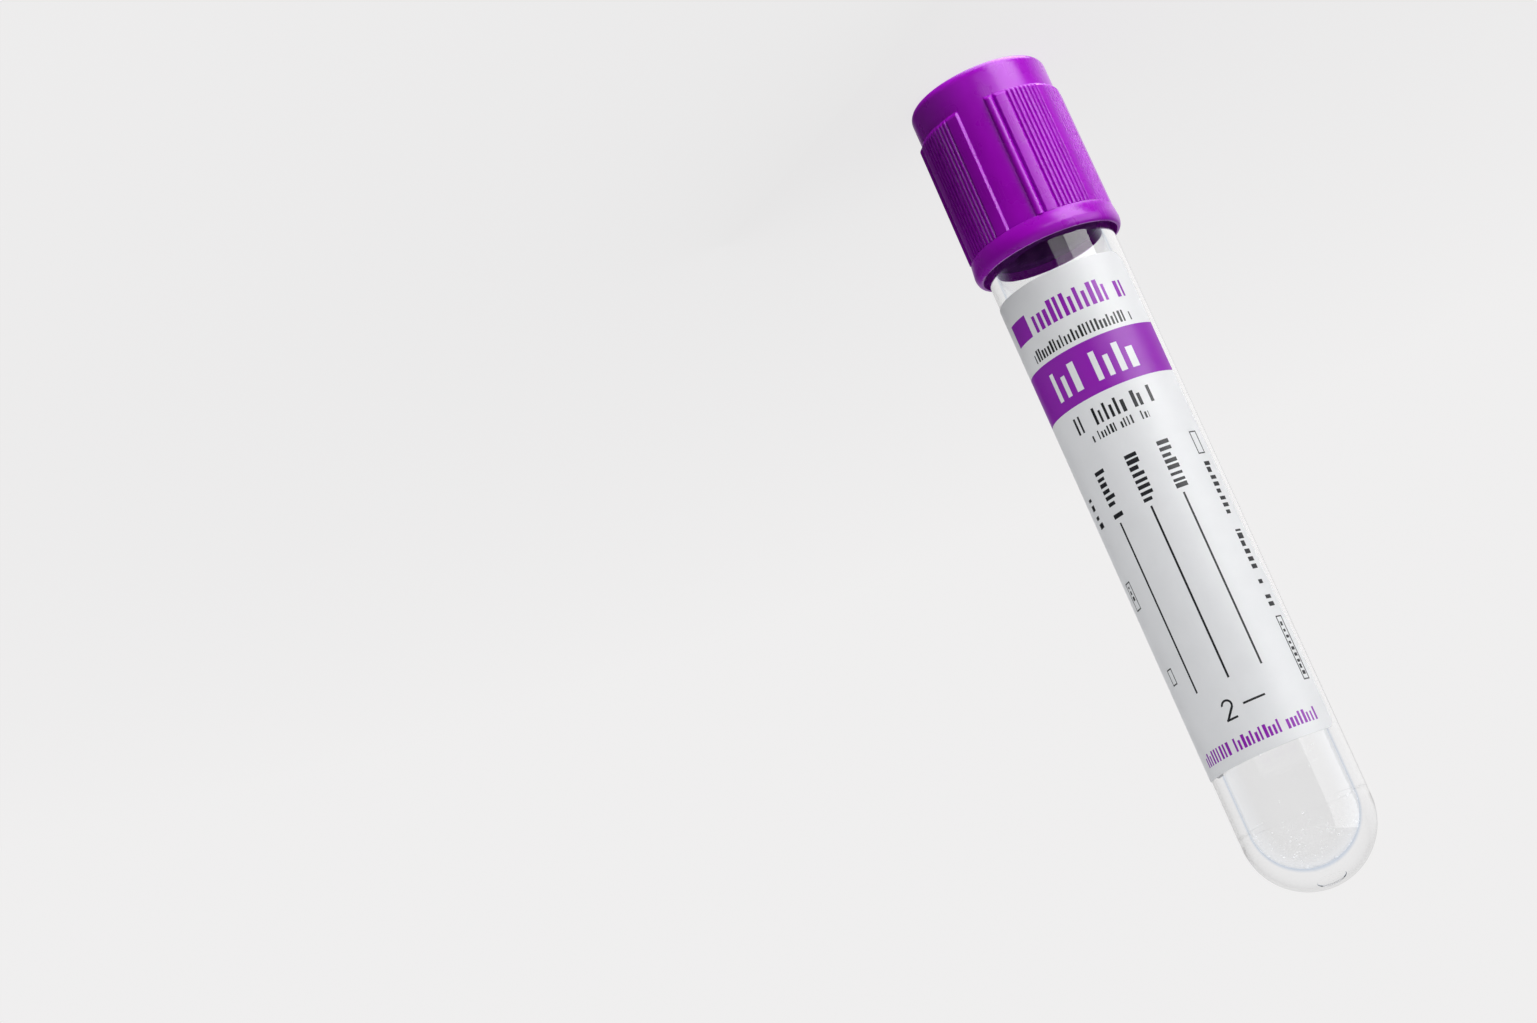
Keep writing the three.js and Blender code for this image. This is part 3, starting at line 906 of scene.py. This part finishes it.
def numeral_two_group():
    """The numeral 2: a bow, a slant and a foot."""
    if "numeral_two" in bpy.data.node_groups:
        return bpy.data.node_groups["numeral_two"]
    names = ("X", "Y", "Middle", "Low", "High", "Bow", "Line")
    group, given, result = new_group("numeral_two", dict.fromkeys(names, "Float"), {"Mask": "Float"})
    u = math_node(group, "SUBTRACT", given["X"], given["Middle"])
    half = math_node(group, "MULTIPLY", given["Line"], 0.5)
    bow_y = math_node(group, "SUBTRACT", math_node(group, "SUBTRACT", given["High"], half), given["Bow"])
    v = math_node(group, "SUBTRACT", given["Y"], bow_y)
    far = math_node(group, "SQRT", math_node(group, "ADD", math_node(group, "MULTIPLY", u, u),
                                             math_node(group, "MULTIPLY", v, v)))
    bow = math_node(group, "COMPARE", far, given["Bow"], half)
    upper = math_node(group, "GREATER_THAN", v, math_node(group, "MULTIPLY", given["Bow"], 0.2))
    right = math_node(group, "MULTIPLY", math_node(group, "GREATER_THAN", u, 0.0),
                      math_node(group, "GREATER_THAN", v, math_node(group, "MULTIPLY", given["Bow"], -0.57)))
    bow = math_node(group, "MULTIPLY", bow, math_node(group, "MAXIMUM", upper, right))
    start_u = math_node(group, "MULTIPLY", given["Bow"], 0.82)
    start_v = math_node(group, "MULTIPLY", given["Bow"], -0.57)
    end_u = math_node(group, "MULTIPLY", given["Bow"], -0.95)
    end_v = math_node(group, "SUBTRACT", math_node(group, "ADD", given["Low"], half), bow_y)
    run = math_node(group, "SUBTRACT", start_u, end_u)
    climb = math_node(group, "SUBTRACT", start_v, end_v)
    down = math_node(group, "DIVIDE", math_node(group, "SUBTRACT", v, end_v), climb)
    slant_u = math_node(group, "MULTIPLY_ADD", down, run, end_u)
    slant = math_node(group, "COMPARE", u, slant_u, math_node(group, "MULTIPLY", given["Line"], 0.75))
    between = math_node(group, "MULTIPLY", math_node(group, "GREATER_THAN", down, 0.0),
                        math_node(group, "LESS_THAN", down, 1.0))
    slant = math_node(group, "MULTIPLY", slant, between)
    foot = math_node(group, "MULTIPLY", math_node(group, "COMPARE", v, end_v, half),
                     math_node(group, "COMPARE", u, 0.0, math_node(group, "ADD", given["Bow"], half)))
    total = math_node(group, "MAXIMUM", math_node(group, "MAXIMUM", bow, slant), foot)
    group.links.new(total, result["Mask"])
    return group


class Print:
    """Collects the masks of each ink on the label. Angles are from the front, heights above the round end."""

    def __init__(self, tree, s, radius):
        self.tree = tree
        self.per_degree = math.radians(1) * radius / MM
        spot = node(tree, "ShaderNodeSeparateXYZ", Vector=tree.nodes.new("ShaderNodeUVMap").outputs["UV"])
        wide = math.degrees(s.wrap) * self.per_degree
        end = math.degrees(s.end) * self.per_degree
        low, high = (TIP - LABEL_HIGH.z) / MM, (TIP - LABEL_LOW.z) / MM
        self.x = ramped(tree, spot.outputs["X"], 0, 1, end, end - wide)
        self.y = ramped(tree, spot.outputs["Y"], 0, 1, high, low)
        self.inks = {"purple": [], "black": [], "white": []}

    def place(self, group, x, y, ink, sizes):
        made = group_node(self.tree, group)
        plug(self.tree, made, "X", x)
        plug(self.tree, made, "Y", y)
        for name, value in sizes.items():
            made.inputs[name].default_value = value
        self.inks[ink].append(made.outputs[0])
        return made.outputs[0]

    def patch(self, ink, left, right, low, high):
        self.place(patch_group(), self.x, self.y, ink, self.span(left, right) | {"Low": low, "High": high})

    def line_down(self, ink, middle, wide, low, high):
        half = wide / 2 / self.per_degree
        self.patch(ink, middle - half, middle + half, low, high)

    def upright_row(self, ink, left, right, low, high, pitch, inked):
        sizes = self.span(left, right) | {"Low": low, "High": high, "Pitch": pitch, "Inked": inked}
        self.place(bar_row_group(), self.x, self.y, ink, sizes)

    def row_down(self, ink, left, right, low, high, pitch, inked):
        """A row that runs along the tube."""
        across = self.span(left, right)
        sizes = {"Left": low, "Right": high, "Low": across["Left"], "High": across["Right"]}
        self.place(bar_row_group(), self.y, self.x, ink, sizes | {"Pitch": pitch, "Inked": inked})

    def box(self, ink, left, right, low, high, line):
        """A thin outline."""
        across = line / self.per_degree
        for a, b, c, d in (
            (left, right, low, low + line),
            (left, right, high - line, high),
            (left, left + across, low, high),
            (right - across, right, low, high),
        ):
            self.patch(ink, a, b, c, d)

    def numeral_two(self, ink, middle, low, high, bow, line):
        sizes = {"Middle": middle * self.per_degree, "Low": low, "High": high, "Bow": bow, "Line": line}
        self.place(numeral_two_group(), self.x, self.y, ink, sizes)

    def span(self, left, right):
        return {"Left": left * self.per_degree, "Right": right * self.per_degree}

    def mask(self, ink):
        masks = self.inks[ink]
        total = masks[0]
        for other in masks[1:]:
            total = math_node(self.tree, "MAXIMUM", total, other)
        return total


def print_label(ink, s):
    """Bands, lines, boxes and rows of bars where a label of this kind has its words."""
    ink.patch("purple", -400, 400, s.band_low / MM, s.band_high / MM)
    ink.patch("purple", -69, -44, 56.8, 59.05)
    for row in UPRIGHT_ROWS:
        ink.upright_row(*row)
    line = s.line_width / MM
    for middle in (-40.5, -9, 19.8):
        ink.line_down("black", middle, line, 20.3, 37.4)
        ink.row_down("black", middle - 4, middle + 6.5, 37.9, 42.7, 0.62, 0.6)
    ink.numeral_two("black", -20, 16.7, 18.65, 0.48, line)
    ink.patch("black", -7, 12, 17.55, 17.55 + line)
    ink.box("black", 49, 57.5, 40.4, 42.7, 0.12)
    ink.row_down("black", 50.5, 57.5, 34.3, 39.7, 0.7, 0.62)
    ink.row_down("black", 51, 58, 25, 32.7, 0.75, 0.62)
    ink.box("black", 52, 60, 17.7, 24, 0.12)
    ink.row_down("black", 54, 58, 18.2, 23.5, 0.6, 0.55)
    ink.row_down("black", -70, -62, 38, 41, 0.9, 0.5)
    ink.box("black", -72, -62, 29.7, 32.5, 0.12)
    ink.row_down("black", -69, -65, 30.1, 32.1, 0.6, 0.55)
    ink.box("black", -66, -58, 22, 23.6, 0.12)


def label_paper(s, radius):
    """Satin coated paper film with its print, faint fibres and a slightly glossier ink."""
    material, shader = new_material("label_paper")
    tree = material.node_tree
    ink = Print(tree, s, radius)
    print_label(ink, s)
    grain = grain_of(tree, object_place(tree), 3 * MM, 0.12 * MM)
    paper = mixed(tree, ramped(tree, grain["Cloud"], 0.3, 0.7), darker(s.paper, 0.97), s.paper)
    white = ink.mask("white")
    purple = math_node(tree, "SUBTRACT", ink.mask("purple"), white, clamp=True)
    black = ink.mask("black")
    printed = mixed(tree, black, mixed(tree, purple, paper, s.band), s.ink)
    tree.links.new(printed, shader.inputs["Base Color"])
    inked = math_node(tree, "MAXIMUM", purple, black)
    rough = math_node(tree, "MULTIPLY_ADD", inked, -0.08, ramped(tree, grain["Cloud"], 0.3, 0.7, 0.38, 0.46))
    tree.links.new(rough, shader.inputs["Roughness"])
    shader.inputs["Subsurface Weight"].default_value = 0.8
    shader.inputs["Subsurface Radius"].default_value = (1, 1, 1)
    shader.inputs["Subsurface Scale"].default_value = 0.3 * MM
    bumped(tree, shader, grain["Grain"], 0.002 * MM)
    lets_lamps_through(material, shader, (s.see_through,) * 3)
    return material


# ---------------------------------------------------------------- stage

def ray_history(tree):
    """What a ray did on its way: it lit a dull surface, came through clear plastic, or was mirrored.
    At most one of the three is 1, and none is for the camera's own rays."""
    path = tree.nodes.new("ShaderNodeLightPath").outputs
    lighting = math_node(tree, "GREATER_THAN", path["Diffuse Depth"], 0.5)
    through = math_node(tree, "GREATER_THAN", path["Transmission Depth"], 0.5)
    through = math_node(tree, "SUBTRACT", through, lighting, clamp=True)
    mirrored = math_node(tree, "GREATER_THAN", path["Glossy Depth"], 0.5)
    mirrored = math_node(tree, "SUBTRACT", mirrored, math_node(tree, "ADD", lighting, through), clamp=True)
    return lighting, through, mirrored


def make_floor(s):
    """A light table: it shows the backdrop's own colour, and near the tube some of its real light and shadow.
    Lamps shine through it from below, and reflections show the room instead of it."""
    start_clean()
    bpy.ops.mesh.primitive_plane_add(size=8)
    floor = bpy.context.object
    floor.name = "floor"
    material, shader = new_material("floor")
    tree = material.node_tree
    shader.inputs["Base Color"].default_value = (*s.backdrop, 1)
    shader.inputs["Roughness"].default_value = 1
    shader.inputs["Specular IOR Level"].default_value = 0
    lighting, through, mirrored = ray_history(tree)
    away = tree.nodes.new("ShaderNodeVectorMath")
    away.operation = "LENGTH"
    tree.links.new(tree.nodes.new("ShaderNodeTexCoord").outputs["Object"], away.inputs[0])
    plain = ramped(tree, away.outputs["Value"], 0.01, s.shadow_reach, 1 - s.shadow_share, 1)
    glow = node(tree, "ShaderNodeEmission", Color=(*s.backdrop, 1), Strength=1)
    shown = tree.nodes.new("ShaderNodeMixShader")
    looking = math_node(tree, "SUBTRACT", 1.0, lighting)
    tree.links.new(math_node(tree, "MULTIPLY", looking, plain), shown.inputs[0])
    tree.links.new(shader.outputs[0], shown.inputs[1])
    tree.links.new(glow.outputs[0], shown.inputs[2])
    lamp_ray = tree.nodes.new("ShaderNodeLightPath").outputs["Is Shadow Ray"]
    passes = math_node(tree, "MAXIMUM", math_node(tree, "ADD", through, mirrored), lamp_ray)
    open_floor = tree.nodes.new("ShaderNodeMixShader")
    tree.links.new(passes, open_floor.inputs[0])
    tree.links.new(shown.outputs[0], open_floor.inputs[1])
    tree.links.new(tree.nodes.new("ShaderNodeBsdfTransparent").outputs[0], open_floor.inputs[2])
    tree.links.new(open_floor.outputs[0], tree.nodes["Material Output"].inputs["Surface"])
    floor.data.materials.append(material)


# The way to the bright side of the room, as reflections see it: right, behind and below.
WINDOW = Vector((-0.55, 0.75, -0.3)).normalized()
# From the tube's axis to the upright glowing cards, and the level card under the table.
CARD_DISTANCE = 0.5
TABLE_CARD_PLACE = (-0.14, 0.15, -0.35)
TABLE_CARD_SIZE = (0.42, 0.5)


def make_world(s):
    """Backdrop to the camera, even fill on dull surfaces and a window side in reflections. Rays that have
    passed clear plastic find the backdrop behind the tube and a dark room in front of it."""
    world = bpy.data.worlds.new("studio")
    world.use_nodes = True
    world.cycles.sampling_method = "NONE"
    tree = world.node_tree
    lighting, through, mirrored = ray_history(tree)
    heading = tree.nodes.new("ShaderNodeTexCoord").outputs["Generated"]
    axes = node(tree, "ShaderNodeSeparateXYZ", Vector=heading).outputs
    depth = axes["Y"]
    behind = ramped(tree, depth, 0, 0.35, s.dark_gloss, 1)
    sideways = ramped(tree, depth, 0.7, 0.6)
    towards = tree.nodes.new("ShaderNodeVectorMath")
    towards.operation = "DOT_PRODUCT"
    tree.links.new(heading, towards.inputs[0])
    towards.inputs[1].default_value = WINDOW
    window = ramped(tree, towards.outputs["Value"], 0.75, 0.99, s.dark_gloss, s.bright_gloss)
    window = math_node(tree, "MULTIPLY", window, ramped(tree, axes["Z"], -0.5, -0.35, 0.3, 1))
    window = math_node(tree, "MAXIMUM", window, ramped(tree, depth, 0.8, 0.97, 0, 0.7))
    strength = blend(tree, through, 1.0, behind)
    strength = blend(tree, mirrored, strength, window)
    strength = blend(tree, lighting, strength, s.fill)
    background = tree.nodes["Background"]
    seen = mixed(tree, math_node(tree, "MULTIPLY", through, sideways), tuple(s.backdrop), tuple(s.outline))
    tree.links.new(mixed(tree, lighting, seen, tuple(s.fill_tint)), background.inputs["Color"])
    tree.links.new(strength, background.inputs["Strength"])
    bpy.context.scene.world = world


def around(angle, distance, height):
    """A place at an angle from the front towards -X."""
    return Vector((-distance * math.sin(angle), -distance * math.cos(angle), height))


def facing(angle):
    """The turn of an upright card that faces the tube from an angle."""
    return math.pi / 2, 0, -angle


def make_card(name, place, turn, wide, tall):
    """A flat card that neither the camera nor lamps see."""
    start_clean()
    bpy.ops.mesh.primitive_plane_add(size=1, location=place, rotation=turn)
    card = bpy.context.object
    card.name = name
    card.scale = (wide, tall, 1)
    card.visible_camera = False
    card.visible_shadow = False
    material, shader = new_material(name)
    card.data.materials.append(material)
    return card, material, shader


def make_glowing_card(name, place, turn, size, brightness, soft_edge, inside=False):
    """A softbox that only reflections show, those off the outside of a surface or those inside clear plastic.
    It fades out towards one side."""
    card, material, shader = make_card(name, place, turn, *size)
    card.visible_diffuse = False
    card.visible_glossy = not inside
    card.visible_transmission = inside
    material.cycles.emission_sampling = "NONE"
    tree = material.node_tree
    tree.nodes.remove(shader)
    across = node(tree, "ShaderNodeSeparateXYZ", Vector=tree.nodes.new("ShaderNodeTexCoord").outputs["UV"])
    soft = ramped(tree, across.outputs["X"], 1, 1 - soft_edge, 0, brightness)
    if inside:
        passed = tree.nodes.new("ShaderNodeLightPath").outputs["Transmission Depth"]
        few_walls = math_node(tree, "LESS_THAN", passed, 2.5)
        soft = math_node(tree, "MULTIPLY", soft, few_walls)
    tint = (0.9, 0.92, 1, 1) if inside else (1, 1, 1, 1)
    glow = node(tree, "ShaderNodeEmission", Color=tint, Strength=soft)
    tree.links.new(glow.outputs[0], tree.nodes["Material Output"].inputs["Surface"])


def make_upright_card(name, angle, height, size, brightness, soft_edge, inside=False):
    """A glowing card that stands upright at the cards' distance and faces the tube."""
    place = around(angle, CARD_DISTANCE, height)
    make_glowing_card(name, place, facing(angle), size, brightness, soft_edge, inside)


def make_black_card(name, place, turn, wide, tall):
    """A card that keeps the even light off one side of the cap."""
    card, _, shader = make_card(name, place, turn, wide, tall)
    shader.inputs["Base Color"].default_value = (0.01, 0.01, 0.01, 1)
    shader.inputs["Specular IOR Level"].default_value = 0
    card.visible_glossy = False
    card.visible_transmission = False


def aimed(lamp, place, target):
    lamp.rotation_euler = (place - target).to_track_quat("Z", "Y").to_euler()
    lamp.visible_glossy = False
    lamp.visible_camera = False
    lamp.visible_transmission = False


def make_lamp(name, angle, distance, height, size, power):
    start_clean()
    place = around(angle, distance, height)
    bpy.ops.object.light_add(type="AREA", location=place)
    lamp = bpy.context.object
    lamp.name = name
    lamp.data.energy = power
    lamp.data.size = size
    aimed(lamp, place, Vector((0, 0, TIP / 2)))


def make_cap_spot(s):
    """A snooted spot that lights the cap and fades out on the top of the label."""
    start_clean()
    place = around(s.spot_angle, 0.16, -0.15)
    bpy.ops.object.light_add(type="SPOT", location=place)
    lamp = bpy.context.object
    lamp.name = "cap_spot"
    lamp.data.energy = s.spot_power
    lamp.data.shadow_soft_size = 0.02
    lamp.data.spot_size = math.radians(11)
    lamp.data.spot_blend = 0.6
    aimed(lamp, place, Vector((0, 0, SKIRT_END * 0.35)))


class TUBE_OT_stage(bpy.types.Operator):
    """Makes the floor, background, cards, lamps and camera"""

    bl_idname = "specimen.stage"
    bl_label = "Stage"

    def execute(self, context):
        s = context.scene.specimen_stage
        make_floor(s)
        make_world(s)
        make_upright_card("softbox_card", s.card_angle, -0.395, (s.card_wide, 0.61), s.card_glow, 0.06)
        make_upright_card("end_card", s.end_angle, 0.15, (s.end_wide, 0.45), s.end_glow, 0.08)
        make_upright_card("strip_card", s.card_angle, -0.12, (s.card_wide, 0.05), s.strip_glow, 0.6,
                          inside=True)
        make_upright_card("reflector_card", s.reflector_angle, -0.145, (s.reflector_wide, 0.13),
                          s.reflector_glow, 0.06)
        make_glowing_card("table_card", TABLE_CARD_PLACE, (0, 0, 0), TABLE_CARD_SIZE, s.table_glow, 0.5)
        make_black_card("shade_card", around(s.shade_angle, s.shade_distance, s.shade_height),
                        facing(s.shade_angle), s.shade_wide, s.shade_tall)
        make_lamp("key_lamp", s.key_angle, 0.32, -0.3, 0.25, s.key_power)
        make_lamp("top_lamp", s.key_angle, 0.3, 0.35, 0.25, s.top_power)
        make_lamp("under_lamp", 0, 0.03, -0.25, 0.12, s.under_power)
        make_cap_spot(s)
        make_camera(s)
        context.scene.view_settings.view_transform = "Standard"
        return {"FINISHED"}


def make_camera(s):
    data = bpy.data.cameras.new("camera")
    data.lens = s.lens
    data.clip_start = 0.01
    camera = bpy.data.objects.new("camera", data)
    bpy.context.scene.collection.objects.link(camera)
    camera.location = (0, -s.camera_distance, s.camera_height)
    level = Euler((math.pi / 2 + s.camera_pitch, 0, s.camera_heading)).to_quaternion()
    camera.rotation_mode = "QUATERNION"
    camera.rotation_quaternion = level @ Quaternion((0, 0, 1), s.camera_roll)
    bpy.context.scene.camera = camera


class TUBE_PT_panel(bpy.types.Panel):
    """Lists the operators that make the tube"""

    bl_label = "Specimen tube"
    bl_idname = "TUBE_PT_panel"
    bl_space_type = "VIEW_3D"
    bl_region_type = "UI"
    bl_category = "Tube"

    def draw(self, context):
        for operator in OPERATORS:
            self.layout.operator(operator.bl_idname)


OPERATORS = (
    TUBE_OT_clear_tube,
    TUBE_OT_droplets,
    TUBE_OT_rubber_stopper,
    TUBE_OT_ribbed_cap,
    TUBE_OT_wrapped_label,
    TUBE_OT_stage,
)
GROUPS = {
    "specimen_tube": TubeSizes,
    "specimen_droplets": DropletSizes,
    "specimen_stopper": StopperSizes,
    "specimen_cap": CapSizes,
    "specimen_label": LabelSizes,
    "specimen_stage": StageSizes,
}


def register():
    for group in (*GROUPS.values(), *OPERATORS, TUBE_PT_panel):
        bpy.utils.register_class(group)
    for name, group in GROUPS.items():
        setattr(bpy.types.Scene, name, PointerProperty(type=group))


def unregister():
    for name in GROUPS:
        delattr(bpy.types.Scene, name)
    for group in (TUBE_PT_panel, *reversed(OPERATORS), *reversed(GROUPS.values())):
        bpy.utils.unregister_class(group)


def main():
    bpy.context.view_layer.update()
    register()
    bpy.ops.specimen.clear_tube()
    bpy.ops.specimen.droplets()
    bpy.ops.specimen.rubber_stopper()
    bpy.ops.specimen.ribbed_cap()
    bpy.ops.specimen.wrapped_label()
    bpy.ops.specimen.stage()


if __name__ == "__main__":
    main()
